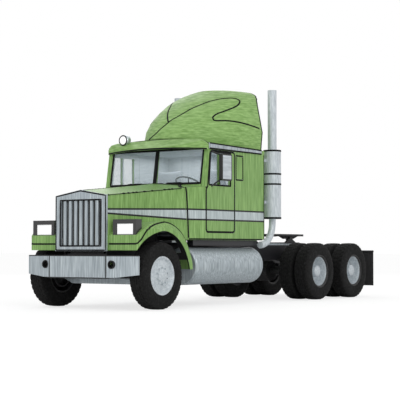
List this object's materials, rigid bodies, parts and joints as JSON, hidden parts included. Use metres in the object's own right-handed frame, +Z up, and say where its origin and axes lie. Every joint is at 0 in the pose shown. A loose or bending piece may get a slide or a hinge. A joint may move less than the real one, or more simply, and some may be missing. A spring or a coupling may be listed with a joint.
{
  "type": "road tractor with sleeper cab",
  "caption": "Conventional road tractor with tilting hood, sleeper cab, roof fairing, upright exhausts, twin drive wheels and coupling plate.",
  "frame": {"origin": "on the ground, under the middle of the whole length and width", "axes": "+X forward, +Y the driver's left, +Z up"},
  "size_m": [7.536, 2.44, 3.74],
  "materials": {
    "body_paint": "gloss",
    "bright_metal": "polished",
    "chassis_paint": "satin",
    "cast_parts": "painted black",
    "tyre": "matt",
    "glass": "clear",
    "rubber_flap": "matt",
    "trim_plastic": "grained",
    "seat_fabric": "woven",
    "lamp_housing": "gloss"
  },
  "bodies": {
    "chassis": {"frame_rails": "chassis_paint", "crossmembers": "chassis_paint", "bumper": "bright_metal", "front_axle": "cast_parts", "suspension": "chassis_paint", "drive_axles": "cast_parts", "drive_shafts": "chassis_paint", "engine": "cast_parts", "fuel_tanks": "bright_metal", "exhaust_stacks": "bright_metal", "deck_plate": "bright_metal", "coupling_bracket": "cast_parts", "mudflaps": "rubber_flap", "cab_floor": "body_paint", "cab_front": "body_paint", "cab_sides": "body_paint", "sleeper_back": "body_paint", "cab_roof": "body_paint", "roof_rails": "bright_metal", "visor": "body_paint", "roof_fairing": "body_paint", "windshield_glass": "glass", "dashboard": "trim_plastic", "steering_wheel": "trim_plastic", "seats": "seat_fabric", "roof_lamp": "bright_metal"},
    "hood": {"hood": "body_paint", "grille_surround": "bright_metal", "grille_bars": "bright_metal", "headlamps": "lamp_housing"},
    "door_left": {"door_left": "body_paint", "door_glass_left": "glass", "mirror_left": "bright_metal"},
    "door_right": {"door_right": "body_paint", "door_glass_right": "glass"},
    "knuckle_left": {"knuckle_left": "cast_parts"},
    "knuckle_right": {"knuckle_right": "cast_parts"},
    "wheel_front_left": {"front_tyre_left": "tyre", "front_rim_left": "bright_metal"},
    "wheel_front_right": {"front_tyre_right": "tyre", "front_rim_right": "bright_metal"},
    "wheels_fore_left": {"fore_tyres_left": "tyre", "fore_rim_left": "bright_metal"},
    "wheels_fore_right": {"fore_tyres_right": "tyre", "fore_rim_right": "bright_metal"},
    "wheels_aft_left": {"aft_tyres_left": "tyre", "aft_rim_left": "bright_metal"},
    "wheels_aft_right": {"aft_tyres_right": "tyre", "aft_rim_right": "bright_metal"},
    "coupling": {"coupling_plate": "cast_parts"}
  },
  "joints": [
    {"name": "hood_tilt", "type": "hinge", "parent": "chassis", "child": "hood", "pos_m": [3.692, 0, 0.87], "axis": [0, 1, 0], "range_deg": [0, 70]},
    {"name": "door_left_hinge", "type": "hinge", "parent": "chassis", "child": "door_left", "pos_m": [1.807, 1.055, 1.6], "axis": [0, 0, -1], "range_deg": [0, 70]},
    {"name": "door_right_hinge", "type": "hinge", "parent": "chassis", "child": "door_right", "pos_m": [1.807, -1.055, 1.6], "axis": [0, 0, 1], "range_deg": [0, 70]},
    {"name": "steer_left", "type": "hinge", "parent": "chassis", "child": "knuckle_left", "pos_m": [3.092, 0.93, 0.521], "axis": [0, 0, 1], "range_deg": [-30, 30]},
    {"name": "steer_right", "type": "hinge", "parent": "chassis", "child": "knuckle_right", "pos_m": [3.092, -0.93, 0.521], "axis": [0, 0, 1], "range_deg": [-30, 30]},
    {"name": "roll_front_left", "type": "hinge", "parent": "knuckle_left", "child": "wheel_front_left", "pos_m": [3.092, 1.02, 0.521], "axis": [0, 1, 0], "continuous": true},
    {"name": "roll_front_right", "type": "hinge", "parent": "knuckle_right", "child": "wheel_front_right", "pos_m": [3.092, -1.02, 0.521], "axis": [0, 1, 0], "continuous": true},
    {"name": "roll_fore_left", "type": "hinge", "parent": "chassis", "child": "wheels_fore_left", "pos_m": [-1.626, 0.915, 0.521], "axis": [0, 1, 0], "continuous": true},
    {"name": "roll_fore_right", "type": "hinge", "parent": "chassis", "child": "wheels_fore_right", "pos_m": [-1.626, -0.915, 0.521], "axis": [0, 1, 0], "continuous": true},
    {"name": "roll_aft_left", "type": "hinge", "parent": "chassis", "child": "wheels_aft_left", "pos_m": [-2.928, 0.915, 0.521], "axis": [0, 1, 0], "continuous": true},
    {"name": "roll_aft_right", "type": "hinge", "parent": "chassis", "child": "wheels_aft_right", "pos_m": [-2.928, -0.915, 0.521], "axis": [0, 1, 0], "continuous": true},
    {"name": "coupling_tilt", "type": "hinge", "parent": "chassis", "child": "coupling", "pos_m": [-1.858, 0, 1.13], "axis": [0, 1, 0], "range_deg": [-10, 15]}
  ],
  "couplings": [
    {"joint": "steer_right", "follows": "steer_left", "ratio": 1}
  ]
}
